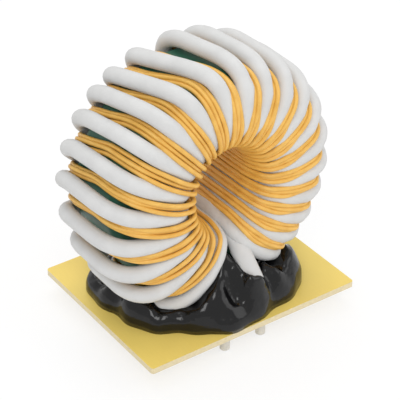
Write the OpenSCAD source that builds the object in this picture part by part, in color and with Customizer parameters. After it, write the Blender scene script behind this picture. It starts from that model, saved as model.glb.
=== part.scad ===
// Toroidal transformer on an epoxy-glass plate: a coated ferrite ring standing on edge, wound with one
// thick insulated wire and three thin strands between its turns, set in a bed of adhesive, with the
// stripped and tinned wire ends as pins below the plate.
// Frame: origin at the middle of the four pins on the plate's underside, +X along the plate, ring axis
// along Y, +Z up.

/* [Plate] */
// Length of the plate along X
plate_l = 61; // [56:0.5:80]
// Width of the plate along Y
plate_w = 49; // [46:0.5:70]
// Thickness of the plate
plate_t = 1.6; // [1:0.1:3]
// Radius of the plate's corners
plate_corner_r = 0.8; // [0.3:0.1:3]
// Shift of the plate along X from the middle of the pins
plate_x = 2; // [-3:0.5:3]

/* [Core] */
// Outer diameter of the coated ring
core_od = 58.5; // [54:0.5:64]
// Radial thickness of the coated ring
core_wall = 12; // [10:0.25:13]
// Height of the ring along its axis
core_h = 18; // [14:0.5:22]
// Radius of the ring's edges
core_edge_r = 2.5; // [1.5:0.1:3.5]
// Shift of the ring across the plate
ring_y = -1.5; // [-2:0.5:2]
// Height of the lowest turn above the plate
seat_gap = 0.6; // [0.5:0.1:1.2]

/* [Primary wire] */
// Outer diameter of the insulated primary wire
primary_d = 4; // [3.5:0.1:4.4]
// Gap between the ring's faces and the primary wire
face_gap = 1.5; // [0.6:0.1:1.8]
// Gap between the ring's bore and the primary wire
bore_gap = 0.4; // [0.06:0.02:0.5]
// Outer arc from the first turn to the last, in degrees
wound_arc = 286; // [270:1:292]
// Middle of the wound arc, counter-clockwise from +X, in degrees
wound_middle = 91; // [80:1:100]
// Turn of the wire about the axis along the outer surface, in degrees
outer_slant = 7.5; // [0:0.5:10]
// Turn of the wire about the axis through the bore, in degrees
bore_slant = 2; // [0:0.5:4]
// Turn of the bore's passes against the outer ones, in degrees
bore_lead = 3; // [0:0.5:6]

/* [Secondary wire] */
// Outer diameter of one secondary strand
strand_d = 1.05; // [0.8:0.05:1.2]

/* [Pins] */
// Diameter of a tinned wire end
pin_d = 2.5; // [2.3:0.1:3.2]
// Length of a pin below the plate
pin_length = 5; // [3:0.5:8]
// Distance between the pins of one winding
pin_spacing = 10.8; // [9:0.2:14]
// Distance of a row of pins from the plate's edge
pin_inset = 3; // [2.9:0.1:3.5]
// Thickness of the tin on a pin below the plate
tin_t = 0.1; // [0.05:0.05:0.2]
// Length of bare conductor above the plate
strip_length = 1; // [0.5:0.1:2]
// Radius of the dome at a pin's tip
pin_dome_r = 1.6; // [1.6:0.1:3]

/* [Adhesive] */
// Length of the adhesive bed along X
bed_l = 51; // [46:0.5:56]
// Distance of the adhesive's front and back edges from the rows of pins
bed_skirt = 2.5; // [2.5:0.1:2.8]
// Height of the bed beside the ring
bed_h = 7; // [5:0.5:10]

/* [Unevenness] */
// Share of the hand winding's unevenness that is kept, from even turns at 0
uneven_share = 1; // [0:0.1:1]

/* [Hidden] */
$fn = 96;

// Clearance between the primary wire and the core or its own turns
wire_gap = 0.06;
// Clearance between a strand and another wire
strand_gap = 0.1;
// Clearance between the adhesive and what it holds
bond_gap = 0.1;
// Clearance round a pin in the plate
hole_gap = 0.1;
// Overrun of cuts
cut = 1;
// Sides of the primary wire's section and of a strand's
primary_sides = 7;
strand_sides = 5;

// Wire radii, and the least distance between the axes of a strand and the primary wire
primary_r = primary_d / 2;
strand_r = strand_d / 2;
ride_d = primary_r + strand_r + strand_gap;
strand_pitch = strand_d + strand_gap;

// Inner diameter of the coated ring
core_id = core_od - 2 * core_wall;
// Path of the primary wire round the core's section: bore radius, outer radius, face plane and bends
bore_r = core_id / 2 - bore_gap - primary_r;
rim_r = core_od / 2 + wire_gap + primary_r;
face_a = core_h / 2 + face_gap + primary_r;
bend_r = core_edge_r + wire_gap + primary_r;
wound_r = rim_r + primary_r;
ring_z = plate_t + seat_gap + wound_r;

// Angle between passes in the bore, which holds the wires side by side and the strands over them
lining_r = bore_r - ride_d;
packed_pitch = 2 * asin((primary_d + wire_gap) / (2 * bore_r));
lining_pitch = 3 * strand_pitch / lining_r * 180 / PI;
bore_pitch = max(packed_pitch, lining_pitch);
// Passes that the bore holds, and those that the outer arc holds with three strands in each gap
tuck = sqrt(pow(ride_d, 2) - pow(primary_r - strand_r, 2));
outer_need = 2 * (tuck + strand_pitch) / cos(outer_slant * rim_r / core_h);
outer_steps = floor(wound_arc * PI / 180 * rim_r / outer_need);
passes = min(floor(360 / bore_pitch), outer_steps + 2);
outer_pitch = wound_arc / (passes - 2);

// How far each turn leans from even spacing on the outside, in degrees, read off the photograph
turn_leans = uneven_share * [
    0, 4, 3.5, 3, 3, 3.5, 5.5, 1, -3, -2.5, -4, 4.5, 2.5, -1, -4.5, -6, -6.5, -4, -3.5, -3.5, -4
];
function lean_at(k) = turn_leans[max(0, min(len(turn_leans) - 1, k))];
// Lean of turn k, or of the gap between two turns
function turn_lean(k) =
    let (share = k - floor(k))
    lean_at(floor(k)) * (1 - share) + lean_at(ceil(k)) * share;

// Where a strand lies: on the core outside, over the primary wire in the bore, and its way between
strand_rim_r = core_od / 2 + wire_gap + strand_r;
edge_tangent = tan(45 / 2);
edge_chamfer = core_edge_r + wire_gap + strand_r;
climb_r = rim_r - bend_r;
edge_r = climb_r + bend_r * sin(45);
pair_offset = strand_pitch / 2;
climb_gap = 0.9;
bend_gap = 0.75;
edge_share = 0.82;
// Room beyond the least at which three strands lie side by side on the core
seat_room = 1.1;
edge_offset = edge_share * strand_pitch;

// Pin places, and the height where the insulation starts
pin_left = -pin_spacing / 2;
pin_right = pin_spacing / 2;
pin_back = plate_w / 2 - pin_inset;
pin_front = -pin_back;
strip_z = plate_t + strip_length;
// Angle at which the primary wire starts, straight behind its pin
start_angle = -90 - asin(pin_spacing / 2 / rim_r);
// Height to which a lead rises straight, and how far it keeps its direction from there
lead_z = plate_t + bed_h + bond_gap;
pull_share = 2.5;
lead_pull = pull_share * primary_d;
arch_share = 1.2;
arch_pull = arch_share * primary_d;
lead_steps = 6;
strand_lead_steps = 5;
nest_share = 0.25;

// Adhesive mound: rows across the plate and columns along it as shares of its half sizes
row_shares = [0.62, 0.7, 0.78, 0.85, 0.91, 0.96, 1];
half_column_shares = [0.1, 0.2, 0.3, 0.42, 0.54, 0.66, 0.78, 0.88, 0.95, 1];
column_shares = concat(-turned(half_column_shares), [0], half_column_shares);
// Share of the bed's outline at which it has its full height, and the height share at the back
bed_rise_share = 0.3;
bed_back_share = 0.7;
// Lobes of the bed's outline
lobe_share = 0.03;
lobe_count = 7;
lobe_phase = 40;
// Power of the bed's rounded outline, and the half length of its straight front and back as a share
bed_power = 2.5;
bed_end_share = 0.4;
// Lumps in front of the ring, between the leads and on the right: place, height and radius
bed_lumps = [[0, -18.6, 4.5, 3], [19, -18.5, 4, 4]];
// Sides of the ways that the adhesive leaves round the leads
lead_sides = 8;
// Hollow under the winding: clearance and width of its sides
hollow_gap = 0.3;
hollow_wall = 0.6;

function clamp01(s) = max(0, min(1, s));
function unit(v) = v / norm(v);
function turned(list) = [for (i = [len(list) - 1:-1:0]) list[i]];

// Point at radius r, distance a towards the front and angle t on the ring
function ring_point(r, a, t) = [r * cos(t), ring_y - a, ring_z + r * sin(t)];

// Angles of pass k at the bore's front and back, and at the front and back of the outer surface
function bore_angle(k) = wound_middle + bore_lead + (k - (passes - 1) / 2) * bore_pitch;
function outer_angle(k) = wound_middle + (k - (passes - 2) / 2) * outer_pitch + turn_lean(k);
function bore_front(k) = bore_angle(k) + bore_slant / 2;
function bore_back(k) = bore_angle(k) - bore_slant / 2;
function outer_front(k) = outer_angle(k) - outer_slant / 2;
function outer_back(k) = outer_angle(k) + outer_slant / 2;

// Angle on a face at radius r, from the bore's angle to the outer one
function face_angle(r, inner, outer) =
    inner + (outer - inner) * clamp01((r - bore_r) / (rim_r - bore_r));

// How far the wire leans from the radius on a face: length along it for each unit of radius
function lean(r, inner, outer) =
    r < bore_r ? 1 : sqrt(1 + pow(r * (outer - inner) * PI / 180 / (rim_r - bore_r), 2));

// Half of the primary wire's path round the core's section, from the bore to the outer surface
bore_bend = [
    for (f = [0:45:90]) [bore_r + bend_r * (1 - cos(f)), face_a - bend_r * (1 - sin(f))]
];
rim_bend = [
    for (f = [0:30:90]) [rim_r - bend_r * (1 - sin(f)), face_a - bend_r * (1 - cos(f))]
];
half_turn = concat(bore_bend, rim_bend);

function primary_front(inner, outer) =
    [for (p = half_turn) ring_point(p[0], p[1], face_angle(p[0], inner, outer))];
function primary_back(inner, outer) =
    [for (p = turned(half_turn)) ring_point(p[0], -p[1], face_angle(p[0], inner, outer))];
function primary_turn(k) = concat(
    primary_front(bore_front(k), outer_front(k)),
    primary_back(bore_back(k + 1), outer_back(k))
);

// Curve from p with direction u to q, which it reaches from the side of direction v
function lead_curve(p, u, q, v, pull, steps) = [
    for (i = [0:steps - 1])
        let (t = i / steps, s = 1 - t)
        s * s * s * p + 3 * s * s * t * (p + pull * u) + 3 * s * t * t * (q + pull * v) + t * t * t * q
];

// Leads of the primary wire: up from the first pin, over and down under the ring, and from the bore
// down to the second pin
start_out = [cos(start_angle), 0, sin(start_angle)];
primary_start = concat([[pin_left, pin_front, strip_z]], lead_curve(
    [pin_left, pin_front, lead_z], [0, 0, 1],
    ring_point(rim_bend[0][0], face_a, start_angle), -start_out, arch_pull, lead_steps
));
primary_finish = turned(concat([[pin_right, pin_front, strip_z]], lead_curve(
    [pin_right, pin_front, lead_z], [0, 0, 1],
    ring_point(bore_r, face_a - bend_r, bore_front(passes - 1)), [0, -1, 0], lead_pull, lead_steps
)));
primary_path = concat(
    primary_start,
    [for (p = rim_bend) ring_point(p[0], p[1], start_angle)],
    primary_back(bore_back(0), start_angle + outer_slant),
    [for (k = [0:passes - 2]) each primary_turn(k)],
    [ring_point(bore_r, face_a - bend_r, bore_front(passes - 1))],
    primary_finish
);

// Radius in the bore of a strand that lies over two passes, at an angle from the nearer one
function lining(angle) =
    bore_r * cos(angle) - sqrt(pow(ride_d, 2) - pow(bore_r * sin(angle), 2));

// How high a strand rides over the primary wire's axis in a gap of half width half_gap
function ride(side, half_gap, offset) =
    let (middle = half_gap < ride_d ? sqrt(pow(ride_d, 2) - pow(half_gap, 2)) : 0)
    side == 0 ? middle : wire_gap + max(
        sqrt(max(0, pow(ride_d, 2) - pow(half_gap - offset, 2))),
        middle + sqrt(max(0, pow(strand_pitch, 2) - pow(offset, 2)))
    );

// Angle of gap k on the outside, and half its width at radius r on a face
function gap_pitch(k) = outer_angle(k + 0.5) - outer_angle(k - 0.5);
function half_gap(r, inner, outer, pitch) =
    let (share = clamp01((r - bore_r) / (rim_r - bore_r)))
    r * (bore_pitch + (pitch - bore_pitch) * share) / 2 * PI / 180 / lean(r, inner, outer);
// Radius of a strand on the outside: on the core, or over the middle strand in a narrow gap
function strand_seat(side, pitch) =
    let (room = rim_r * pitch / 2 * PI / 180)
    side == 0 || 2 * room > outer_need + seat_room ? strand_rim_r
        : rim_r + sqrt(max(0, pow(ride_d, 2) - pow(room - edge_offset, 2)));

// Half of a strand's path: radius, distance along the axis and sideways offset at each station, and
// the radius of the primary wire beside it
function strand_half(side, inner, outer, pitch) =
    let (
        seat_r = lining(side == 0 ? bore_pitch / 2 : bore_pitch / 6),
        lift = bore_r - seat_r,
        turn_l = (bend_r + lift) * edge_tangent,
        lining_offset = seat_r * bore_pitch / 3 * PI / 180,
        climb = climb_gap + ride(side, half_gap(climb_r, inner, outer, pitch), pair_offset),
        edge_room = half_gap(edge_r, inner, outer, pitch),
        edge = (bend_r + bend_gap + ride(side, edge_room, edge_offset)) * sin(45),
        outer_r = strand_seat(side, pitch),
        outer_offset = outer_r > strand_rim_r ? edge_offset : strand_pitch,
        edge_l = core_edge_r - edge_chamfer * edge_tangent
    ) [
        [seat_r, face_a - bend_r + turn_l, lining_offset, seat_r],
        [
            bore_r + bend_r - turn_l, face_a + lift + bend_gap, lining_offset,
            bore_r + bend_r * (1 - sin(45 / 2))
        ],
        [climb_r, face_a + climb, pair_offset, climb_r],
        [rim_r - bend_r + edge, face_a - bend_r + edge, edge_offset, edge_r],
        [outer_r, core_h / 2 - edge_l, outer_offset, rim_r]
    ];

// Point of a strand at a station, turned like the primary wire beside it
function strand_point(p, sign, side, inner, outer) =
    let (offset = side * p[2] * (p[3] < rim_r ? lean(p[3], inner, outer) : 1))
    ring_point(p[0], sign * p[1], face_angle(p[3], inner, outer) + offset / p[0] * 180 / PI);
function strand_run(sign, side, inner, outer, pitch) = [
    for (p = strand_half(side, inner, outer, pitch))
        strand_point(p, sign, side, inner, outer)
];
function strand_front(k, side) =
    strand_run(1, side, bore_front(k), outer_front(k), gap_pitch(k));
function strand_back(k, side) =
    turned(strand_run(-1, side, bore_back(k + 1), outer_back(k), gap_pitch(k)));

// The strands start in the first gap and end in the last gap between two whole turns
last_gap = passes - 2.5;
// Lead of a strand from its place in the row of three on a pin to its end on the winding
function strand_lead(x, y, end, pull) = concat(
    [[x, y, strip_z]],
    lead_curve([x, y, lead_z], [0, 0, 1], end, [0, 1, 0], pull, strand_lead_steps),
    [end]
);
function strand_start(side) = strand_lead(
    pin_right + side * strand_pitch, pin_back,
    strand_run(-1, side, bore_back(0.5), bore_back(0.5), outer_pitch)[0], lead_pull
);
function strand_finish(side) = turned(strand_lead(
    pin_left - side * strand_pitch, pin_back,
    strand_back(last_gap, side)[1], lead_pull * (1 - nest_share * side)
));
function strand_path(side) = concat(
    strand_start(side),
    [for (k = [0.5:last_gap - 1]) each concat(strand_front(k, side), strand_back(k, side))],
    strand_front(last_gap, side),
    [strand_back(last_gap, side)[0]],
    strand_finish(side)
);

// Direction of a path at point i, and section directions carried along it without twist
function tangent(path, i) = unit(path[min(i + 1, len(path) - 1)] - path[max(i - 1, 0)]);
function side_from(v, t) = unit(v - (v * t) * t);

// Closed tube of n sides along a path
module sweep(path, r, n) {
    last = len(path) - 1;
    normals = [
        for (i = 0, v = side_from([1, 0, 0], tangent(path, 0)); i <= last;
            i = i + 1, v = i <= last ? side_from(v, tangent(path, i)) : v) v
    ];
    points = [
        for (i = [0:last], j = [0:n - 1])
            path[i] + r * (cos(360 * j / n) * normals[i]
                + sin(360 * j / n) * cross(tangent(path, i), normals[i]))
    ];
    walls = [
        for (i = [0:last - 1], j = [0:n - 1])
            [i * n + j, (i + 1) * n + j, (i + 1) * n + (j + 1) % n, i * n + (j + 1) % n]
    ];
    ends = [[for (j = [0:n - 1]) j], [for (j = [n - 1:-1:0]) last * n + j]];
    polyhedron(points, concat(walls, ends), convexity = 10);
}

// Rounded rectangle centred on the origin
module rounded_rectangle(l, w, r) {
    square([l - 2 * r, w], center = true);
    square([l, w - 2 * r], center = true);
    for (x = [-1, 1], y = [-1, 1])
        translate([x * (l / 2 - r), y * (w / 2 - r)])
            circle(r);
}

module at_pins() {
    for (x = [pin_left, pin_right], y = [pin_front, pin_back])
        translate([x, y, 0])
            children();
}

// Revolved band round the ring's axis, from radius r0 to r1 and half width a, over an arc
module ring_band(r0, r1, a, edge_r, from, arc) {
    translate([0, ring_y, ring_z])
        rotate([90, 0, 0])
            rotate_extrude(angle = arc, start = from)
                translate([(r0 + r1) / 2, 0])
                    rounded_rectangle(r1 - r0, 2 * a, edge_r);
}

module base_plate() {
    color([0.9, 0.8, 0.44])
        difference() {
            translate([plate_x, 0, 0])
                linear_extrude(plate_t)
                    rounded_rectangle(plate_l, plate_w, plate_corner_r);
            at_pins()
                translate([0, 0, -cut])
                    cylinder(d = pin_d + 2 * hole_gap, h = plate_t + 2 * cut);
        }
}

module toroid_core() {
    color([0.08, 0.3, 0.22])
        ring_band(core_id / 2, core_od / 2, core_h / 2, core_edge_r, 0, 360);
}

module primary_winding() {
    color([0.9, 0.9, 0.9])
        sweep(primary_path, primary_r, primary_sides);
}

module secondary_strand(side) {
    color([0.93, 0.7, 0.28])
        sweep(strand_path(side), strand_r, strand_sides);
}

// Tinned wire end with a domed tip below the plate, and its bare conductor up to the insulation
module pin(x, y) {
    color([0.8, 0.8, 0.78])
        translate([x, y, 0]) {
            translate([0, 0, -pin_length])
                intersection() {
                    cylinder(d = pin_d, h = pin_length);
                    union() {
                        translate([0, 0, pin_dome_r]) {
                            sphere(pin_dome_r);
                            cylinder(r = 2 * pin_dome_r, h = pin_length);
                        }
                    }
                }
            cylinder(d = pin_d - 2 * tin_t, h = strip_z);
        }
}

// Half width of the hollow under the winding, and the rows of the bed's grid from front to back
hollow_a = face_a + primary_r + hollow_gap;
bed_b = pin_back + bed_skirt;
hollow_ys = [
    for (a = [-hollow_a - hollow_wall, -hollow_a, 0, hollow_a, hollow_a + hollow_wall]) ring_y + a
];
row_ys = concat(
    [for (r = turned(row_shares)) if (-r * bed_b < hollow_ys[0] - hollow_wall) -r * bed_b],
    hollow_ys,
    [for (r = row_shares) if (r * bed_b > hollow_ys[4] + hollow_wall) r * bed_b]
);

// Height that one lump adds at a place
function lump_height(p, x, y) =
    p[2] * exp(-(pow(x - p[0], 2) + pow(y - p[1], 2)) / (2 * pow(p[3], 2)));
function lumps_height(x, y) = [for (p = bed_lumps) lump_height(p, x, y)] * [for (p = bed_lumps) 1];

// Point of the bed's top: share u along a row at y, clear of the winding above it
function bed_point(u, y) =
    let (
        v = clamp01(abs(y) / bed_b),
        turn = atan2(y, u * bed_b),
        wave = 1 + lobe_share * sin(lobe_count * turn + lobe_phase),
        reach = max(bed_end_share, pow(max(0, 1 - pow(v, bed_power)), 1 / bed_power)),
        x = u * wave * reach * bed_l / 2,
        rim = clamp01((1 - max(abs(u), v)) / bed_rise_share),
        crest = bed_h * (y > ring_y ? bed_back_share : 1) + lumps_height(x, y),
        height = crest * sqrt(rim * (2 - rim)),
        under = abs(y - ring_y) < hollow_a + hollow_wall / 2,
        hollow = ring_z - plate_t - sqrt(pow(wound_r + hollow_gap, 2) - pow(x, 2))
    )
    [x, y, plate_t + (under ? min(height, hollow) : height)];

// Bed of adhesive as one closed surface: top grid and flat underside
module bed() {
    n = len(column_shares);
    rows = len(row_ys);
    points = [for (y = row_ys, u = column_shares) bed_point(u, y)];
    // Each field of the grid is split along the diagonal that leaves no flat flap at the corners
    tops = [
        for (k = [0:rows - 2], i = [0:n - 2])
            let (a = k * n + i, b = a + n)
            (2 * k < rows - 1) == (2 * i < n - 1) ? [a, b, b + 1, a + 1] : [b, b + 1, a + 1, a]
    ];
    floors = [
        for (k = [1:rows - 3]) [k * n, k * n + n - 1, (k + 1) * n + n - 1, (k + 1) * n]
    ];
    front = concat([n], [for (i = [0:n - 1]) i], [2 * n - 1]);
    last = (rows - 1) * n;
    back = concat([last - 1], [for (i = [n - 1:-1:0]) last + i], [last - n]);
    polyhedron(points, concat([front, back], floors, tops), convexity = 6);
}

// Way for a lead of radius r through the adhesive
module lead_way(x, y, r) {
    translate([x, y, 0])
        cylinder(r = (r + bond_gap) / cos(180 / lead_sides), h = lead_z + cut, $fn = lead_sides);
}

module adhesive_bed() {
    color([0.13, 0.13, 0.14])
        difference() {
            bed();
            for (x = [pin_left, pin_right]) {
                lead_way(x, pin_front, primary_r);
                lead_way(x, pin_back, strand_pitch + strand_r);
            }
        }
}

base_plate();
toroid_core();
primary_winding();
secondary_strand(-1);  // secondary_strand_1
secondary_strand(0);  // secondary_strand_2
secondary_strand(1);  // secondary_strand_3
adhesive_bed();
pin(pin_left, pin_front);  // primary_pin_start
pin(pin_right, pin_front);  // primary_pin_finish
pin(pin_right, pin_back);  // secondary_pin_start
pin(pin_left, pin_back);  // secondary_pin_finish
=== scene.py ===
"""Looks of a toroidal transformer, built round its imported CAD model."""

import math
import random

import bmesh
import bpy
from bpy.props import FloatProperty, FloatVectorProperty, IntProperty, PointerProperty
from mathutils import Matrix, Vector, noise


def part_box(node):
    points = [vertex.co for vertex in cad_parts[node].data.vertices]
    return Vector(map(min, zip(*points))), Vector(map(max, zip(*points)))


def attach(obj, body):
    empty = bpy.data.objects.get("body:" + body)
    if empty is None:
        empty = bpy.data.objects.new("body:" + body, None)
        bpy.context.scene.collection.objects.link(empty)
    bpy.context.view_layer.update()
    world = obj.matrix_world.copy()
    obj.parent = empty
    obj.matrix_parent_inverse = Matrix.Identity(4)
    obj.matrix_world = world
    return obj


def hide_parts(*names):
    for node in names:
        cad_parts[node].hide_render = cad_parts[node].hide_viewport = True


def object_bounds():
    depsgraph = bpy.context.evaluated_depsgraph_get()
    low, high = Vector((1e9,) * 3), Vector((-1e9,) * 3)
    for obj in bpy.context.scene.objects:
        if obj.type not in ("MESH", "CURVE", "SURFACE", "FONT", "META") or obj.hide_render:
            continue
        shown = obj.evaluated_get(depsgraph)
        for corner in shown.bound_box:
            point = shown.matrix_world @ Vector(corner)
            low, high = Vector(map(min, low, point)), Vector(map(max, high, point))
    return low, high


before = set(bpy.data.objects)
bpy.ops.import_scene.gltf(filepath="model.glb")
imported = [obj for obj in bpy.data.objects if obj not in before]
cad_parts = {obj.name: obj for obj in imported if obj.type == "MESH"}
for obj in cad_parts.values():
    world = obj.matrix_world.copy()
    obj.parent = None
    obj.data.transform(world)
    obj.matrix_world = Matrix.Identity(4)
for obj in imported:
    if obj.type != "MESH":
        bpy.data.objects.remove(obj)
CAD_LOW, CAD_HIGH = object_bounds()
PLATE_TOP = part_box("base_plate")[1].z
PIN_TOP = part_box("primary_pin_start")[1].z
CORE_LOW, CORE_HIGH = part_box("toroid_core")
RING = (CORE_LOW + CORE_HIGH) / 2
WOUND_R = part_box("primary_winding")[1].z - RING.z

bl_info = {
    "name": "Toroidal transformer",
    "version": (1, 0, 0),
    "blender": (4, 5, 0),
    "location": "3D View > Sidebar > Transformer",
    "description": "Builds the windings, adhesive and finishes of a toroidal transformer",
    "category": "Add Mesh",
}

MM = 0.001

# How far each white turn leans from even spacing on the outside of the ring, in degrees
TURN_LEANS = (
    2, -0.5, -3.5, -5.5, -6.5, -6.5, -5.5, -5.5, -4, -2.5, -3.5,
    1, -0.5, -5, -7.5, -8, -7.5, -4.5, -2, -1, -1.5,
)

# How much further each turn leans on the front of the ring, and each pass in the bore, in degrees
FRONT_LEANS = (0, 0, 0, 0, 0, 0, 0, 0, -1, -2, -3, -9, -4.5, -0.5, 2, 4, 5.5, 6, 7.5, 9, 15)
BORE_LEANS = (
    0, -0.5, -1, -1.5, -2.5, -3.5, -5, -7, -9, -10.5, -12,
    -13.5, -14.5, -13.5, -10.5, -6, -1.5, 2, 4.5, 9, 18, 18,
)

# Room that the wires keep from the ring and the strands from their neighbours
WIRE_GAP = 0.06 * MM

# Start of the random numbers that make the hand winding uneven
WOBBLE_SEED = 11

# Powers of the rounded loop that a white turn makes in the bore and outside, and its steps in half a turn
BORE_ROUNDNESS = 4
RIM_ROUNDNESS = 3.1
LOOP_STEPS = 12

# How far the turns at the lower left hang off the ring, and where
SAG = 1.8 * MM
SAG_ANGLE = math.radians(236)
SAG_REACH = math.radians(24)

# How far the bends into the bore on the left crowd towards the axis and bulge to the front, and where
CROWD = 2.0 * MM
BULGE = 3.0 * MM
CROWD_ANGLE = math.radians(190)
CROWD_REACH = math.radians(75)

# Finishing lead of the white wire from the bore down to its pin, in millimetres
FINISH_LEAD = (
    (2.4, 6.0, 23.5), (2.4, 2.0, 23.6), (2.6, -4.0, 23.8), (2.9, -9.2, 22.4), (3.9, -15.3, 16.6),
    (5.1, -19.4, 9.8), (5.4, -21.0, 5.0),
)

# Starting lead of the white wire from its pin up and over towards the ring, in millimetres
START_LEAD = ((-5.4, -21.2, 4.0), (-5.4, -19.8, 5.8), (-5.2, -16.8, 7.2))

# Widening of the white wire where it is pressed into the bore, and how far from the axis it starts
BORE_SWELL = 0.13
BORE_SWELL_R = 17 * MM
BORE_SWELL_FADE = 2 * MM

# Width shares of the leads in front of the ring: bare at the pins, and of the flattened finishing lead above
LEADS_FRONT_Y = -14 * MM
BARE_SHARE = 0.6
BARE_Z = 4 * MM
BARE_FADE = 4 * MM
FINISH_LEAD_SHARE = 1.18

# Strands lie side by side, midway between two turns: gap 0.5 is the first
STRANDS = 3
FIRST_GAP = 0.5

# First gap whose strands lie close together against its earlier turn
EARLIER_FROM = 15

# How far a bundle of strands moves from the middle of its gap, by the room that it has
NESTLE_MOST = math.radians(2)
NESTLE_SHARE = 0.8
BUNDLE_HALF_SHARE = 1.3

# Spacing of the strands in a gap against their closest, by the room that they have
SPREAD_MOST = 1.15
SPREAD_ROOM_SHARE = 0.45
SPREAD_EARLIER = 0.85

# Strands on the front of the first turns are stacked: their spacing, the gap where that ends and how fast
STACKED_SPREAD = 0.62
STACKED_TO = 12
STACKED_FADE = 2

# Heights in a bundle, in shares of the strands' spacing: the middle strand where the bundle is stacked,
# how far out it lies outside the ring, and the side strands on the face
STACK_SHARE = 0.6
MIDDLE_OUT_SHARE = 0.5
SIDE_UP_SHARE = 0.3

# Heights of the strands over the face, in shares of their lift over the passes in the bore
HUB_LIFT_SHARE = 0.8
MIDDLE_LIFT_SHARE = 0.5
OUTER_DIP_SHARE = 0.2
EDGE_LIFT_SHARE = 0.1
EDGE_STACKED_SHARE = 0.8

# Heights of stacked strands at the middle and the outside of the face, in shares of their rise over a turn
MIDDLE_RISE_SHARE = 0.8
OUTER_RISE_SHARE = 0.7

# Spacing of the strands from the edge of the bore to the outside, in shares of their closest
FAN_SHARES = (0.95, 0.95, 0.9, 0.85, 0.8)

# Share of the room in the bore that the strands take at first and later, and the gap where later starts
SNUG_FIRST_SHARE = 0.55
SNUG_LATER_SHARE = 0.9
SNUG_BY = 6

# The last run of strands leans less by this part of a gap, and ends after its outer stations at the back
LAST_LEAN_BACK = 0.4
LAST_STATIONS = 4

# Leads of the strands: height where they bend, pull of their curve and how it differs from side to side
LEAD_RISE = 8.7 * MM
LEAD_PULL = 10 * MM
LEAD_PULL_FAN_SHARE = 0.25
LEAD_STEPS = 5

# Steps and rounds of smoothing of the wires' paths, one point kept of so many, and their mesh
PRIMARY_STEP = 0.6 * MM
PRIMARY_ROUNDS = 4
PRIMARY_BEVEL = 6
STRAND_STEP = 0.5 * MM
STRAND_ROUNDS = 24
STRAND_BEVEL = 3
KEPT_EVERY = 3
RINGS_PER_POINT = 2

# Lumps of the adhesive: place along X and Y, height and radius, in millimetres
ADHESIVE_LUMPS = (
    (-5.6, -17.6, 5.0, 3.0),
    (-1.8, -14.2, 6.0, 2.6),
    (1.2, -13.8, 7.5, 2.6),
    (2.2, -21.0, 5.6, 1.5),
    (5.4, -20.6, 5.6, 1.8),
    (2.0, -17.6, 3.5, 1.5),
    (9.0, -17.0, 4.5, 1.9),
    (11.5, -19.5, 3.6, 1.7),
    (-12.0, -20.0, 2.6, 2.2),
    (17.5, -14.0, 6.3, 4.0),
    (-21.0, -6.0, 2.5, 6.0),
    (22.0, 4.0, 2.5, 6.0),
    (5.4, 19.0, 5.0, 4.0),
    (-7.0, 18.0, 5.0, 4.5),
)

# Height and length of the swells of the adhesive's surface
ADHESIVE_SWELLS = ((1.3 * MM, 4 * MM), (0.5 * MM, 1.9 * MM))

# Hollow of the adhesive under the winding: half its width, its fade and how deep the wires sink in
HOLLOW_HALF = 8 * MM
HOLLOW_FADE = 2 * MM
SINK = 1.5 * MM

# Outline of the adhesive: squareness, waves as share, count and phase, and one dent at the front left
OUTLINE_POWER = 2.5
OUTLINE_WAVES = ((0.03, 7, 0.7), (0.012, 17, 0))
DENT_SHARE = 0.12
DENT_ANGLE = -2.4
DENT_REACH = 0.4

# Steepness and power of the adhesive's wall, and segments of its mesh round and up
WALL_STEEPNESS = 2.4
WALL_POWER = 0.5
ADHESIVE_ROUND = 220
ADHESIVE_UP = 130

# Darker tones of the finishes, as shares of their red, green and blue
WHITE_SHADES = (0.9, 0.9, 0.9)
STRAND_SHADES = (0.82, 0.7, 0.45)
CORE_SHADES = (0.55, 0.55, 0.55)
PLATE_SHADES = (0.86, 0.86, 0.86)
EDGE_SHADES = (0.8, 0.8, 0.8)
TIN_SHADES = (0.7, 0.7, 0.7)

# Thin adhesive at its outline: height over the plate, fade and strength
FILM = 0.15 * MM
FILM_FADE = 0.9 * MM
FILM_SHARE = 0.85

# Share of the glass fibres in the tone of the plate's face
WEAVE_SHARE = 0.05

# Numbers of the colour Mix node's sockets: share, first, second and result
MIX_SHARE, MIX_FIRST, MIX_SECOND, MIX_RESULT = 0, 6, 7, 2

# Numbers of the Mix Shader node's sockets: share, first and second
SURFACE_SHARE, SURFACE_FIRST, SURFACE_SECOND = 0, 1, 2

# Nodes that keep their CAD mesh as pins
PIN_NODES = ("primary_pin_start", "primary_pin_finish", "secondary_pin_start", "secondary_pin_finish")

# Floor: half its length in metres, room under the pins, tone and how much it glows where it is seen
FLOOR_HALF = 3
FLOOR_DROP = 0.2 * MM
FLOOR_TONE = (0.9, 0.9, 0.9)
FLOOR_ROUGHNESS = 0.9
FLOOR_GLOW_SHARE = 0.75
SEEN_RAYS = ("Is Camera Ray", "Is Glossy Ray", "Is Transmission Ray")

# Lamps: name, place and size in metres, and power in watts; and the point that they shine at
LAMPS = (
    ("key_light", (-0.35, -0.45, 0.55), 0.35, 1.8),
    ("fill_light", (0.5, -0.4, 0.35), 0.5, 0.9),
    ("top_light", (0.05, 0.25, 0.7), 0.5, 1.5),
)
LAMP_AIM = (0, 0, 0.03)
WHITE = (1, 1, 1)

# Camera: width of its sensor in millimetres and nearest distance that it shows in metres
SENSOR_WIDTH = 36
CLIP_START = 0.01


def srgb(red, green, blue):
    """Linear colour of an 8-bit screen colour."""
    def linear(c):
        c /= 255
        return c / 12.92 if c <= 0.04045 else ((c + 0.055) / 1.055) ** 2.4
    return linear(red), linear(green), linear(blue)


def clamp(value):
    """The value held between 0 and 1."""
    return max(0, min(1, value))


def blend(first, second, share):
    """A number between two, by the share of the second."""
    return first + (second - first) * share


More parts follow.
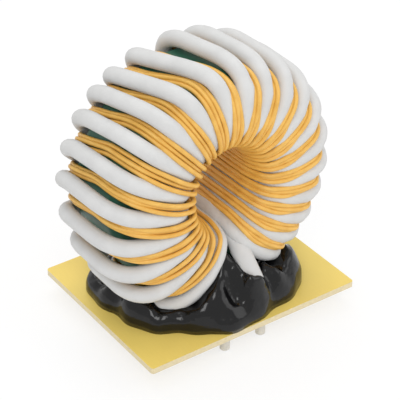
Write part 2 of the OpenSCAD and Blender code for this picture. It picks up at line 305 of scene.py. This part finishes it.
def hump(angle, middle, reach):
    """Height from 0 to 1 of a soft hump round an angle."""
    return math.exp(-((angle - middle) / reach) ** 2)


def shaded(colour, shares):
    """Colour with each channel taken down by its share."""
    return tuple(c * share for c, share in zip(colour, shares))


class WindingSettings(bpy.types.PropertyGroup):
    """Sizes of the two windings."""
    primary_d: FloatProperty(
        name="White wire", description="Outer diameter of the white wire", default=4.1 * MM, unit="LENGTH")
    strand_d: FloatProperty(
        name="Yellow strand", description="Outer diameter of a yellow strand",
        default=1.15 * MM, unit="LENGTH")
    face_gap: FloatProperty(
        name="Face gap", description="Gap between the ring's faces and the white wire",
        default=1.9 * MM, unit="LENGTH")
    edge_r: FloatProperty(
        name="Ring edge", description="Radius of the ring's edges", default=2.5 * MM, unit="LENGTH")
    bore_d: FloatProperty(
        name="Ring bore", description="Diameter of the way through the ring for the wires",
        default=30.2 * MM, unit="LENGTH")
    rim_gap: FloatProperty(
        name="Rim gap", description="Gap between the outside of the ring and the white wire",
        default=1.0 * MM, unit="LENGTH")
    wound_arc: FloatProperty(
        name="Wound arc", description="Outer arc from the first turn to the last",
        default=math.radians(286), subtype="ANGLE")
    wound_middle: FloatProperty(
        name="Wound middle", description="Middle of the wound arc from +X",
        default=math.radians(91), subtype="ANGLE")
    outer_slant: FloatProperty(
        name="Outer slant", description="Turn of the wire across the outside of the ring",
        default=math.radians(7.5), subtype="ANGLE")
    bore_slant: FloatProperty(
        name="Bore slant", description="Turn of the wire through the bore",
        default=math.radians(2), subtype="ANGLE")
    bore_lead: FloatProperty(
        name="Bore lead", description="Turn of the bore's passes against the outer ones",
        default=math.radians(3), subtype="ANGLE")
    bore_pitch: FloatProperty(
        name="Bore pitch", description="Angle between the passes in the bore",
        default=math.radians(16.17), subtype="ANGLE")
    passes: IntProperty(name="Passes", description="Passes of the white wire through the bore", default=22)
    shift: FloatProperty(
        name="Shift", description="Place of the winding along X from the ring's middle",
        default=-0.5 * MM, unit="LENGTH")
    wobble: FloatProperty(
        name="Wobble", description="Unevenness of the hand winding", default=0.05 * MM, unit="LENGTH")


class AdhesiveSettings(bpy.types.PropertyGroup):
    """Size of the adhesive bed."""
    length: FloatProperty(name="Length", description="Length along X", default=51 * MM, unit="LENGTH")
    width: FloatProperty(name="Width", description="Width along Y", default=48 * MM, unit="LENGTH")
    height: FloatProperty(
        name="Height", description="Height away from lumps", default=4.4 * MM, unit="LENGTH")


class FinishSettings(bpy.types.PropertyGroup):
    """Colours of the finishes."""
    plate: FloatVectorProperty(
        name="Plate", description="Face of the plate", default=srgb(242, 214, 112), subtype="COLOR")
    plate_edge: FloatVectorProperty(
        name="Sawn edge", description="Sawn edge of the plate", default=srgb(229, 214, 175), subtype="COLOR")
    core: FloatVectorProperty(
        name="Ring coating", description="Coating of the ring", default=srgb(58, 112, 92), subtype="COLOR")
    primary: FloatVectorProperty(
        name="White wire", description="Insulation of the white wire",
        default=srgb(209, 209, 208), subtype="COLOR")
    strand: FloatVectorProperty(
        name="Yellow strand", description="Insulation of the strands",
        default=srgb(234, 188, 96), subtype="COLOR")
    adhesive: FloatVectorProperty(
        name="Adhesive", description="Cured adhesive", default=srgb(11, 11, 12), subtype="COLOR")
    adhesive_thin: FloatVectorProperty(
        name="Thin adhesive", description="Adhesive where the plate shines through",
        default=srgb(84, 76, 40), subtype="COLOR")
    tin: FloatVectorProperty(
        name="Tinned wire", description="Tinned wire ends", default=srgb(232, 228, 218), subtype="COLOR")


class StageSettings(bpy.types.PropertyGroup):
    """Camera and light."""
    azimuth: FloatProperty(
        name="Azimuth", description="Camera's angle round the part",
        default=math.radians(-34.93), subtype="ANGLE")
    elevation: FloatProperty(
        name="Elevation", description="Camera's height angle", default=math.radians(33.42), subtype="ANGLE")
    distance: FloatProperty(
        name="Distance", description="Camera's distance from its aim", default=388.6 * MM, unit="LENGTH")
    aim: FloatVectorProperty(
        name="Aim", description="Point that the camera looks at",
        default=(2.24 * MM, 0, 24.31 * MM), subtype="TRANSLATION")
    lens: FloatProperty(name="Lens", description="Focal length in millimetres", default=142.07)
    room_light: FloatProperty(name="Room light", description="Strength of the light all round", default=0.76)


class Wire:
    """A value in a material's node tree, for maths in Python."""

    def __init__(self, tree, socket):
        self.tree = tree
        self.socket = socket

    def math(self, operation, first, second):
        node = self.tree.nodes.new("ShaderNodeMath")
        node.operation = operation
        for socket, value in zip(node.inputs, (first, second)):
            if isinstance(value, Wire):
                self.tree.links.new(value.socket, socket)
            else:
                socket.default_value = value
        return Wire(self.tree, node.outputs[0])

    def __add__(self, other):
        return self.math("ADD", self, other)

    __radd__ = __add__

    def __sub__(self, other):
        return self.math("SUBTRACT", self, other)

    def __rsub__(self, other):
        return self.math("SUBTRACT", other, self)

    def __mul__(self, other):
        return self.math("MULTIPLY", self, other)

    __rmul__ = __mul__

    def __truediv__(self, other):
        return self.math("DIVIDE", self, other)

    def __rtruediv__(self, other):
        return self.math("DIVIDE", other, self)

    def clamped(self):
        """The value held between 0 and 1."""
        wire = self + 0
        wire.socket.node.use_clamp = True
        return wire

    def between(self, low, high):
        """Where the value lies from low to high, from 0 to 1."""
        return ((self - low) / (high - low)).clamped()

    def span(self, first, last):
        """A number that goes from first to last as the value goes from 0 to 1."""
        return first + (last - first) * self


class Finish:
    """A material whose nodes are added one at a time."""

    def __init__(self, name):
        self.material = bpy.data.materials.new(name)
        self.material.use_nodes = True
        self.tree = self.material.node_tree
        self.shader = self.tree.nodes["Principled BSDF"]
        self.place = self.node("ShaderNodeTexCoord").outputs["Object"]

    def feed(self, socket, value):
        """Links a value to a socket, or sets it there."""
        if isinstance(value, Wire):
            self.tree.links.new(value.socket, socket)
        elif isinstance(value, bpy.types.NodeSocket):
            self.tree.links.new(value, socket)
        elif socket.type == "RGBA":
            socket.default_value = (*value, 1)
        else:
            socket.default_value = value

    def node(self, kind, settings=None, sockets=None, **named):
        """A new node with its settings and its sockets, which are given by number or by name."""
        node = self.tree.nodes.new(kind)
        for name, value in (settings or {}).items():
            setattr(node, name, value)
        for number, value in (sockets or {}).items():
            self.feed(node.inputs[number], value)
        for name, value in named.items():
            self.feed(node.inputs[name.replace("_", " ")], value)
        return node

    def value(self, node, output):
        """A node's output for maths."""
        return Wire(self.tree, node.outputs[output])

    def noise(self, scale, detail=4, roughness=0.55):
        node = self.node(
            "ShaderNodeTexNoise", Vector=self.place, Scale=scale, Detail=detail, Roughness=roughness)
        return self.value(node, "Fac")

    def upward(self, vector):
        """Z of a vector."""
        return self.value(self.node("ShaderNodeSeparateXYZ", Vector=vector), "Z")

    def mix(self, share, first, second):
        sockets = {MIX_SHARE: share, MIX_FIRST: first, MIX_SECOND: second}
        return self.node("ShaderNodeMix", {"data_type": "RGBA"}, sockets).outputs[MIX_RESULT]

    def bump(self, height, depth, strength):
        node = self.node("ShaderNodeBump", Height=height, Distance=depth, Strength=strength)
        self.set(Normal=node.outputs["Normal"])

    def set(self, **inputs):
        """Feeds the shader's own sockets."""
        for name, value in inputs.items():
            self.feed(self.shader.inputs[name.replace("_", " ")], value)


def white_insulation(colours):
    """Matt white with a soft cloud and a fine grain."""
    finish = Finish("white_insulation")
    cloud = finish.noise(scale=220)
    grain = finish.noise(scale=2600, detail=3)
    dark = shaded(colours.primary, WHITE_SHADES)
    finish.set(
        Base_Color=finish.mix(cloud.between(0.35, 0.85), dark, colours.primary),
        Roughness=grain.span(0.62, 0.82))
    finish.bump(grain, depth=0.06 * MM, strength=0.6)
    return finish.material


def yellow_insulation(colours):
    """Satin yellow with deeper stretches."""
    finish = Finish("yellow_insulation")
    cloud = finish.noise(scale=350)
    deep = shaded(colours.strand, STRAND_SHADES)
    finish.set(
        Base_Color=finish.mix(cloud.between(0.1875, 0.8125), deep, colours.strand),
        Roughness=cloud.span(0.34, 0.54))
    finish.bump(finish.noise(scale=1800, detail=2), depth=0.03 * MM, strength=0.5)
    return finish.material


def ring_coating(colours):
    """Green coating, a little uneven."""
    finish = Finish("green_ring_coating")
    cloud = finish.noise(scale=160)
    dark = shaded(colours.core, CORE_SHADES)
    finish.set(Base_Color=finish.mix(cloud, dark, colours.core), Roughness=cloud.span(0.28, 0.53))
    finish.bump(finish.noise(scale=900, detail=2), depth=0.08 * MM, strength=0.7)
    return finish.material


def black_adhesive(colours):
    """Glossy black that lets the plate through at its thin outline."""
    finish = Finish("black_adhesive")
    film = PLATE_TOP + FILM
    thin = 1 - finish.upward(finish.place).between(film, film + FILM_FADE)
    cloud = finish.noise(scale=300, detail=3)
    finish.set(
        Base_Color=finish.mix(thin * FILM_SHARE, colours.adhesive, colours.adhesive_thin),
        Roughness=cloud.span(0.07, 0.19), Specular_IOR_Level=0.38)
    finish.bump(finish.noise(scale=420, detail=2), depth=0.25 * MM, strength=0.6)
    return finish.material


def epoxy_glass(colours):
    """Yellow sheet with a faint weave on its faces and pale sawn edges."""
    finish = Finish("epoxy_glass_sheet")
    up = finish.upward(finish.node("ShaderNodeNewGeometry").outputs["Normal"])
    flat = (up * up).between(0.5, 0.625)
    cloud = finish.noise(scale=90, detail=5)
    fibres = finish.node(
        "ShaderNodeTexWave", {"bands_direction": "X"}, Vector=finish.place, Scale=260, Distortion=2.5)
    weave = finish.value(fibres, "Fac")
    tone = (cloud * (1 - WEAVE_SHARE) + weave * WEAVE_SHARE).clamped()
    face = finish.mix(tone, shaded(colours.plate, PLATE_SHADES), colours.plate)
    saw_marks = finish.noise(scale=1500, detail=3).between(1 / 6, 5 / 6)
    edge = finish.mix(saw_marks, shaded(colours.plate_edge, EDGE_SHADES), colours.plate_edge)
    finish.set(
        Base_Color=finish.mix(flat, edge, face), Roughness=flat.span(0.55, 0.4) + cloud.span(0, 0.1))
    finish.bump(finish.noise(scale=1600, detail=3), depth=0.05 * MM, strength=0.6)
    return finish.material


def tinned_wire(colours):
    """Dull tin with a rough dip."""
    finish = Finish("tinned_wire")
    grain = finish.noise(scale=1400, detail=5)
    dull = shaded(colours.tin, TIN_SHADES)
    finish.set(
        Base_Color=finish.mix(grain, dull, colours.tin), Metallic=0.4, Roughness=grain.span(0.35, 0.6))
    finish.bump(grain, depth=0.15 * MM, strength=0.9)
    return finish.material


def pin_place(node):
    """Middle of a pin."""
    low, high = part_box(node)
    return (low + high) / 2


class Winding:
    """Paths of the wires round the ring, in metres.

    Places are a radius r from the ring's axis, a distance a along the axis to the front
    and an angle t from +X. Turn k runs over the ring between the passes k and k + 1.
    """

    def __init__(self, settings):
        self.s = settings
        self.random = random.Random(WOBBLE_SEED)
        primary_r = settings.primary_d / 2
        strand_r = settings.strand_d / 2
        core_r = (CORE_HIGH.z - CORE_LOW.z) / 2
        self.core_a = (CORE_HIGH.y - CORE_LOW.y) / 2
        self.ring = RING + Vector((settings.shift, 0, 0))
        self.ride_d = primary_r + strand_r + WIRE_GAP
        self.strand_pitch = settings.strand_d + WIRE_GAP
        self.bore_r = settings.bore_d / 2 - WIRE_GAP - primary_r
        self.rim_r = core_r + settings.rim_gap + primary_r
        self.face_a = self.core_a + settings.face_gap + primary_r
        self.bend_r = settings.edge_r + WIRE_GAP + primary_r
        self.outer_pitch = settings.wound_arc / (settings.passes - 2)
        self.strand_rim_r = core_r + WIRE_GAP + strand_r
        self.edge_chamfer = settings.edge_r + WIRE_GAP + strand_r

    def lean_of(self, leans, k):
        """Lean of turn k, or of the gap between two turns, in radians."""
        last = len(leans) - 1
        low = max(0, min(last, math.floor(k)))
        high = max(0, min(last, math.ceil(k)))
        return math.radians(blend(leans[low], leans[high], k - math.floor(k)))

    def bore_angle(self, k):
        """Angle of pass k in the bore."""
        even = self.s.wound_middle + self.s.bore_lead + (k - (self.s.passes - 1) / 2) * self.s.bore_pitch
        return even + self.lean_of(BORE_LEANS, k)

    def outer_angle(self, k):
        """Angle of turn k on the outside of the ring."""
        even = self.s.wound_middle + (k - (self.s.passes - 2) / 2) * self.outer_pitch
        return even + self.lean_of(TURN_LEANS, k)

    def bore_room(self, k):
        """Angle between the two passes beside gap k."""
        return self.bore_angle(k + 0.5) - self.bore_angle(k - 0.5)

    def outer_room(self, k):
        """Angle between the two turns beside gap k on the outside."""
        return self.outer_angle(k + 0.5) - self.outer_angle(k - 0.5)

    def share(self, r):
        """Share of the way from the bore to the outside."""
        return clamp((r - self.bore_r) / (self.rim_r - self.bore_r))

    def face_angle(self, r, inner, outer):
        """Angle on the face at a radius between the angles in the bore and outside."""
        return blend(inner, outer, self.share(r))

    def point(self, r, a, t):
        """Place on the winding, with the sag and the bulge of its turns."""
        out = self.share(r)
        bend = (1 - out) * clamp(a / self.face_a) * hump(t, CROWD_ANGLE, CROWD_REACH)
        r += SAG * hump(t, SAG_ANGLE, SAG_REACH) * out - CROWD * bend
        a += BULGE * bend
        return self.ring + Vector((r * math.cos(t), -a, r * math.sin(t)))

    def uneven(self, point):
        """The point moved a little at random."""
        reach = self.s.wobble
        return point + Vector([self.random.uniform(-reach, reach) for _ in range(3)])

    def run_point(self, sign, place, inner, outer, lean, share, turn=0):
        """Point of a run on the front for sign 1, or on the back for sign -1."""
        r, a = place
        half = sign * share / 2
        t = self.face_angle(
            r, inner + half * self.s.bore_slant, outer + half * (2 * lean - self.s.outer_slant))
        return self.uneven(self.point(r, sign * a, t + turn))

    def half_turn(self):
        """Radius and distance along the axis on a rounded loop from the bore to the outside."""
        middle = (self.bore_r + self.rim_r) / 2
        reach = (self.rim_r - self.bore_r) / 2
        places = []
        for step in range(1, LOOP_STEPS):
            f = math.pi * (1 - step / LOOP_STEPS)
            power = 2 / (BORE_ROUNDNESS if step < LOOP_STEPS / 2 else RIM_ROUNDNESS)
            across = math.copysign(abs(math.cos(f)) ** power, math.cos(f))
            places.append((middle + reach * across, self.face_a * math.sin(f) ** power))
        return places

    def primary_run(self, sign, inner, outer, lean=0):
        """Half a turn of the white wire from the bore to the outside."""
        return [
            self.run_point(sign, (r, a), inner, outer, lean, a / self.face_a)
            for r, a in self.half_turn()]

    def primary_path(self):
        """Path of the white wire from its starting pin to its finishing pin."""
        start = pin_place("primary_pin_start")
        finish = pin_place("primary_pin_finish")
        start_angle = -math.pi / 2 + math.asin(start.x / self.rim_r)
        path = [Vector((start.x, start.y, PIN_TOP))]
        path += [Vector(place) * MM for place in START_LEAD]
        path += [self.point(r, a, start_angle) for r, a in self.half_turn()[LOOP_STEPS // 2:]]
        path += reversed(self.primary_run(-1, self.bore_angle(0), start_angle))
        for k in range(self.s.passes - 1):
            lean = self.lean_of(FRONT_LEANS, k)
            path += self.primary_run(1, self.bore_angle(k), self.outer_angle(k), lean)
            path += reversed(self.primary_run(-1, self.bore_angle(k + 1), self.outer_angle(k)))
        path += [Vector(place) * MM for place in FINISH_LEAD]
        return path + [Vector((finish.x, finish.y, PIN_TOP))]

    def lead(self, start, end, end_way, pull):
        """Points from over a pin straight up and across to an end on the winding."""
        up = Vector((0, 0, pull))
        points = []
        for i in range(LEAD_STEPS):
            t = i / LEAD_STEPS
            s = 1 - t
            points.append(
                start * s ** 3 + (start + up) * 3 * s * s * t
                + (end + end_way * pull) * 3 * s * t * t + end * t ** 3)
        return points

    def lining(self, angle):
        """Radius of a strand that lies over two passes in the bore."""
        across = self.bore_r * math.sin(angle)
        return self.bore_r * math.cos(angle) - math.sqrt(max(0, self.ride_d ** 2 - across ** 2))

    def nestle(self, k):
        """Angle from the middle of gap k to the strands, which lie against one of its turns."""
        needed = (self.s.primary_d / 2 + BUNDLE_HALF_SHARE * self.strand_pitch) / self.rim_r
        aside = max(0, min(NESTLE_MOST, NESTLE_SHARE * (self.outer_room(k) / 2 - needed)))
        return aside if k < EARLIER_FROM else -aside

    def spread(self, k):
        """How far apart the strands lie in gap k against their closest."""
        if k >= EARLIER_FROM:
            return SPREAD_EARLIER
        room = self.outer_room(k) * self.rim_r - self.s.primary_d
        return max(1, min(SPREAD_MOST, SPREAD_ROOM_SHARE * room / self.strand_pitch))

    def rise(self, r, k):
        """Height of a bundle over the white turns' middle where it rides on the nearer one."""
        room = self.face_angle(r, self.bore_room(k), self.outer_room(k))
        aside = self.strand_pitch + abs(self.nestle(k)) * r * self.share(r)
        apart = max(0, r * room / 2 - aside)
        return math.sqrt(max(0, self.ride_d ** 2 - apart ** 2))

    def strand_run(self, sign, side, k, inner, outer, spread=1, snug=1, lean=0):
        """Half a turn of a strand from the bore to the outside; side 0 is the middle strand."""
        pitch = self.strand_pitch
        room = self.bore_room(k)
        seat_r = self.lining(room / 2 if side == 0 else room / 2 / STRANDS)
        seat_offset = snug * seat_r * room / STRANDS
        lift = self.bore_r - seat_r
        stacked = clamp((STACKED_TO - k) / STACKED_FADE) if sign > 0 else 0
        spread = blend(spread, STACKED_SPREAD, stacked)
        on_top = STACK_SHARE * pitch * stacked if side == 0 else 0
        out = MIDDLE_OUT_SHARE * pitch if side == 0 else 0
        up = 0 if side == 0 else SIDE_UP_SHARE * pitch

        diagonal = math.sqrt(0.5)
        bend = (self.bend_r + lift) * diagonal
        wrap = self.edge_chamfer * diagonal
        hub_r = self.bore_r + self.bend_r
        hub_a = self.face_a - self.bend_r
        wrap_r = self.strand_rim_r - self.edge_chamfer
        wrap_a = self.core_a - self.s.edge_r
        rim_r = self.strand_rim_r + out
        middle_r = (hub_r + wrap_r) / 2
        middle_rise = MIDDLE_RISE_SHARE * self.rise(middle_r, k)
        middle_a = self.face_a + blend(MIDDLE_LIFT_SHARE * lift + up, middle_rise, stacked) + on_top
        outer_rise = OUTER_RISE_SHARE * self.rise(wrap_r, k)
        outer_a = self.face_a + blend(up - OUTER_DIP_SHARE * lift, outer_rise, stacked) + on_top
        edge_a = wrap_a + wrap + out + blend(EDGE_LIFT_SHARE, EDGE_STACKED_SHARE, stacked) * lift + on_top

        fan = [share * pitch for share in FAN_SHARES]
        stations = (
            (seat_r, hub_a / 2, seat_offset),
            (seat_r, hub_a, seat_offset),
            (hub_r - bend, hub_a + bend, seat_offset),
            (hub_r, self.face_a + HUB_LIFT_SHARE * lift, fan[0]),
            (middle_r, middle_a, fan[1] * spread),
            (wrap_r, outer_a, fan[2] * spread),
            (wrap_r + wrap + out, edge_a, fan[3] * spread),
            (rim_r, wrap_a, fan[4] * spread),
            (rim_r, wrap_a / 2, fan[4] * spread),
        )
        return [
            self.run_point(sign, (r, a), inner, outer, lean, min(1, a / self.core_a), side * offset / r)
            for r, a, offset in stations]

    def strand_path(self, side):
        """Path of one strand from its starting pin to its finishing pin."""
        back = Vector((0, 1, 0))
        pin = pin_place("secondary_pin_start")
        x = pin.x + side * self.strand_pitch
        first = self.bore_angle(FIRST_GAP)
        end = self.strand_run(-1, side, FIRST_GAP, first, first)[1]
        path = [Vector((x, pin.y, PIN_TOP))]
        path += self.lead(Vector((x, pin.y, LEAD_RISE)), end, back, LEAD_PULL) + [end]
        gaps = self.s.passes - 2
        for gap in range(gaps):
            k = gap + FIRST_GAP
            last = gap == gaps - 1
            wide = self.spread(k)
            outer = self.outer_angle(k) + self.nestle(k)
            snug = blend(SNUG_FIRST_SHARE, SNUG_LATER_SHARE, clamp(k / SNUG_BY))
            lean = self.lean_of(FRONT_LEANS, k - LAST_LEAN_BACK if last else k)
            path += self.strand_run(1, side, k, self.bore_angle(k), outer, wide, snug, lean)
            back_run = self.strand_run(-1, side, k + 1, self.bore_angle(k + 1), outer, wide, snug)[::-1]
            path += back_run[:LAST_STATIONS] if last else back_run
        pin = pin_place("secondary_pin_finish")
        x = pin.x - side * self.strand_pitch
        pull = LEAD_PULL * (1 - LEAD_PULL_FAN_SHARE * side)
        lead = self.lead(Vector((x, pin.y, LEAD_RISE)), path[-1], back, pull)
        return path + lead[::-1] + [Vector((x, pin.y, PIN_TOP))]


def smoothed(path, step, rounds):
    """Path with even steps, its corners rounded by averaging neighbours."""
    points = [path[0]]
    for start, end in zip(path, path[1:]):
        count = max(1, round((end - start).length / step))
        points += [start.lerp(end, (i + 1) / count) for i in range(count)]
    for _ in range(rounds):
        inner = [(a + 2 * b + c) / 4 for a, b, c in zip(points, points[1:], points[2:])]
        points = [points[0]] + inner + [points[-1]]
    return points[:-1:KEPT_EVERY] + [points[-1]]


def lead_swell(place):
    """Width share of the white wire: wider in the bore, and bare at the pins in front of the ring."""
    if place.y > LEADS_FRONT_Y:
        from_axis = math.hypot(place.x - RING.x, place.z - RING.z)
        return 1 + BORE_SWELL * clamp((BORE_SWELL_R - from_axis) / BORE_SWELL_FADE)
    wide = FINISH_LEAD_SHARE if place.x > 0 else 1
    return blend(BARE_SHARE, wide, clamp((place.z - BARE_Z) / BARE_FADE))


def tube(name, path, diameter, bevel, swell=None):
    """Mesh of a round wire along a smooth curve; swell gives the share of its width at a point."""
    curve = bpy.data.curves.new(name, "CURVE")
    curve.dimensions = "3D"
    curve.bevel_depth = diameter / 2
    curve.bevel_resolution = bevel
    curve.resolution_u = RINGS_PER_POINT
    curve.use_fill_caps = True
    spline = curve.splines.new("BEZIER")
    spline.bezier_points.add(len(path) - 1)
    for knot, place in zip(spline.bezier_points, path):
        knot.co = place
        knot.handle_left_type = "AUTO"
        knot.handle_right_type = "AUTO"
        knot.radius = swell(place) if swell else 1
    holder = bpy.data.objects.new(name + "_path", curve)
    bpy.context.scene.collection.objects.link(holder)
    bpy.context.view_layer.update()
    graph = bpy.context.evaluated_depsgraph_get()
    mesh = bpy.data.meshes.new_from_object(holder.evaluated_get(graph))
    bpy.data.objects.remove(holder)
    bpy.data.curves.remove(curve)
    mesh.name = name
    return mesh


def adhesive_height(x, y, base):
    """Height of the adhesive over the plate away from its wall."""
    height = base
    for lump_x, lump_y, lump_h, lump_r in ADHESIVE_LUMPS:
        apart = math.hypot(x / MM - lump_x, y / MM - lump_y) / lump_r
        height += lump_h * MM * math.exp(-apart * apart / 2)
    for swell_h, swell_length in ADHESIVE_SWELLS:
        height += swell_h * noise.noise(Vector((x, y, 0)) / swell_length)
    under = 1 - clamp((abs(y - RING.y) - HOLLOW_HALF) / HOLLOW_FADE)
    if under and abs(x) < WOUND_R:
        hollow = RING.z - PLATE_TOP - math.sqrt(WOUND_R ** 2 - x * x) + SINK
        height += under * min(0, hollow - height)
    return height


def adhesive_outline(around):
    """Radius of the adhesive's outline at an angle, in shares of its half length and width."""
    wave = 1 - DENT_SHARE * hump(around, DENT_ANGLE, DENT_REACH)
    for share, count, phase in OUTLINE_WAVES:
        wave += share * math.sin(count * around + phase)
    square = abs(math.cos(around)) ** OUTLINE_POWER + abs(math.sin(around)) ** OUTLINE_POWER
    return wave * square ** (-1 / OUTLINE_POWER)


def place_piece(name, mesh, material, nodes):
    """Adds a finished mesh to the scene on the root body in place of CAD nodes."""
    if not mesh.polygons:
        raise RuntimeError(f"{name} has no faces")
    for face in mesh.polygons:
        face.use_smooth = True
    piece = bpy.data.objects.new(name, mesh)
    bpy.context.scene.collection.objects.link(piece)
    mesh.materials.clear()
    mesh.materials.append(material)
    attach(piece, "root")
    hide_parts(*nodes)


class TRANSFORMER_OT_primary(bpy.types.Operator):
    """Winds the white wire"""
    bl_idname = "transformer.primary"
    bl_label = "White winding"

    def execute(self, context):
        scene = context.scene
        winding = Winding(scene.transformer_winding)
        path = smoothed(winding.primary_path(), PRIMARY_STEP, PRIMARY_ROUNDS)
        mesh = tube("white_winding", path, winding.s.primary_d, PRIMARY_BEVEL, lead_swell)
        material = white_insulation(scene.transformer_finish)
        place_piece("white_winding", mesh, material, ["primary_winding"])
        return {"FINISHED"}


class TRANSFORMER_OT_secondary(bpy.types.Operator):
    """Lays the yellow strands between the white turns"""
    bl_idname = "transformer.secondary"
    bl_label = "Yellow strands"

    def execute(self, context):
        scene = context.scene
        winding = Winding(scene.transformer_winding)
        material = yellow_insulation(scene.transformer_finish)
        for number, side in enumerate((-1, 0, 1), 1):
            name = f"yellow_strand_{number}"
            path = smoothed(winding.strand_path(side), STRAND_STEP, STRAND_ROUNDS)
            mesh = tube(name, path, winding.s.strand_d, STRAND_BEVEL)
            place_piece(name, mesh, material, [f"secondary_strand_{number}"])
        return {"FINISHED"}


class TRANSFORMER_OT_adhesive(bpy.types.Operator):
    """Spreads the black adhesive"""
    bl_idname = "transformer.adhesive"
    bl_label = "Adhesive"

    def execute(self, context):
        scene = context.scene
        settings = scene.transformer_adhesive
        shape = bmesh.new()
        bmesh.ops.create_uvsphere(
            shape, u_segments=ADHESIVE_ROUND, v_segments=ADHESIVE_UP, radius=1)
        for vertex in shape.verts:
            x, y, z = vertex.co
            around = math.atan2(y, x)
            out = math.hypot(x, y) * adhesive_outline(around)
            x = out * settings.length / 2 * math.cos(around)
            y = out * settings.width / 2 * math.sin(around)
            wall = clamp(z * WALL_STEEPNESS) ** WALL_POWER
            rise = adhesive_height(x, y, settings.height) * wall
            vertex.co = Vector((x, y, PLATE_TOP + rise))
        bmesh.ops.recalc_face_normals(shape, faces=shape.faces)
        mesh = bpy.data.meshes.new("adhesive")
        shape.to_mesh(mesh)
        shape.free()
        place_piece("adhesive", mesh, black_adhesive(scene.transformer_finish), ["adhesive_bed"])
        return {"FINISHED"}


class TRANSFORMER_OT_finishes(bpy.types.Operator):
    """Finishes the plate, the ring and the pins"""
    bl_idname = "transformer.finishes"
    bl_label = "Plate, ring and pins"

    def execute(self, context):
        colours = context.scene.transformer_finish
        finishes = {"base_plate": epoxy_glass(colours), "toroid_core": ring_coating(colours)}
        finishes.update(dict.fromkeys(PIN_NODES, tinned_wire(colours)))
        for name, material in finishes.items():
            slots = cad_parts[name].data.materials
            slots.clear()
            slots.append(material)
        return {"FINISHED"}


class TRANSFORMER_OT_stage(bpy.types.Operator):
    """Sets the floor, the light and the camera"""
    bl_idname = "transformer.stage"
    bl_label = "Stage"

    def floor(self, scene):
        """Pale floor under the pins, which glows where it is seen and keeps the shadow."""
        shape = bmesh.new()
        bmesh.ops.create_grid(shape, x_segments=1, y_segments=1, size=FLOOR_HALF)
        mesh = bpy.data.meshes.new("floor")
        shape.to_mesh(mesh)
        shape.free()
        mesh.transform(Matrix.Translation((0, 0, CAD_LOW.z - FLOOR_DROP)))
        floor = bpy.data.objects.new("floor", mesh)
        scene.collection.objects.link(floor)
        finish = Finish("pale_floor")
        finish.set(Base_Color=FLOOR_TONE, Roughness=FLOOR_ROUGHNESS)
        path = finish.node("ShaderNodeLightPath")
        seen = sum(finish.value(path, ray) for ray in SEEN_RAYS)
        glow = finish.node("ShaderNodeEmission", Color=WHITE, Strength=1)
        surface = finish.node("ShaderNodeMixShader", sockets={
            SURFACE_SHARE: (seen * FLOOR_GLOW_SHARE).clamped(),
            SURFACE_FIRST: finish.shader.outputs[0],
            SURFACE_SECOND: glow.outputs[0],
        })
        finish.feed(finish.tree.nodes["Material Output"].inputs["Surface"], surface.outputs[0])
        mesh.materials.append(finish.material)

    def lamp(self, scene, name, place, size, power):
        """Square lamp that shines at the part."""
        light = bpy.data.lights.new(name, "AREA")
        light.size = size
        light.energy = power
        lamp = bpy.data.objects.new(name, light)
        lamp.location = place
        aim = Vector(LAMP_AIM) - lamp.location
        lamp.rotation_euler = aim.to_track_quat("-Z", "Y").to_euler()
        scene.collection.objects.link(lamp)

    def room(self, scene, strength):
        """White light all round."""
        world = bpy.data.worlds.new("white_room")
        world.use_nodes = True
        background = world.node_tree.nodes["Background"]
        background.inputs["Color"].default_value = (*WHITE, 1)
        background.inputs["Strength"].default_value = strength
        scene.world = world

    def camera(self, scene, settings):
        """Camera at the photograph's angle."""
        data = bpy.data.cameras.new("camera")
        data.lens = settings.lens
        data.sensor_width = SENSOR_WIDTH
        data.clip_start = CLIP_START
        camera = bpy.data.objects.new("camera", data)
        level = math.cos(settings.elevation)
        way = Vector((
            math.sin(settings.azimuth) * level, -math.cos(settings.azimuth) * level,
            math.sin(settings.elevation)))
        camera.location = Vector(settings.aim) + way * settings.distance
        camera.rotation_euler = (-way).to_track_quat("-Z", "Y").to_euler()
        scene.collection.objects.link(camera)
        scene.camera = camera

    def execute(self, context):
        scene = context.scene
        settings = scene.transformer_stage
        self.floor(scene)
        self.room(scene, settings.room_light)
        for lamp in LAMPS:
            self.lamp(scene, *lamp)
        self.camera(scene, settings)
        scene.view_settings.view_transform = "Standard"
        return {"FINISHED"}


class TRANSFORMER_PT_panel(bpy.types.Panel):
    """Sizes, colours and steps of the transformer"""
    bl_idname = "TRANSFORMER_PT_panel"
    bl_label = "Transformer"
    bl_space_type = "VIEW_3D"
    bl_region_type = "UI"
    bl_category = "Transformer"

    def draw(self, context):
        layout = self.layout
        for step in STEPS:
            layout.operator(step.bl_idname)
        for name, kind in SETTINGS.items():
            for key in kind.__annotations__:
                layout.prop(getattr(context.scene, name), key)


STEPS = (
    TRANSFORMER_OT_stage, TRANSFORMER_OT_primary, TRANSFORMER_OT_secondary, TRANSFORMER_OT_adhesive,
    TRANSFORMER_OT_finishes,
)
SETTINGS = {
    "transformer_winding": WindingSettings,
    "transformer_adhesive": AdhesiveSettings,
    "transformer_finish": FinishSettings,
    "transformer_stage": StageSettings,
}


def register():
    for name, group in SETTINGS.items():
        bpy.utils.register_class(group)
        setattr(bpy.types.Scene, name, PointerProperty(type=group))
    for step in STEPS:
        bpy.utils.register_class(step)
    bpy.utils.register_class(TRANSFORMER_PT_panel)


def unregister():
    bpy.utils.unregister_class(TRANSFORMER_PT_panel)
    for step in reversed(STEPS):
        bpy.utils.unregister_class(step)
    for name, group in reversed(SETTINGS.items()):
        delattr(bpy.types.Scene, name)
        bpy.utils.unregister_class(group)


def main():
    """Builds the looks."""
    register()
    bpy.ops.transformer.stage()
    bpy.ops.transformer.primary()
    bpy.ops.transformer.secondary()
    bpy.ops.transformer.adhesive()
    bpy.ops.transformer.finishes()


if __name__ == "__main__":
    main()
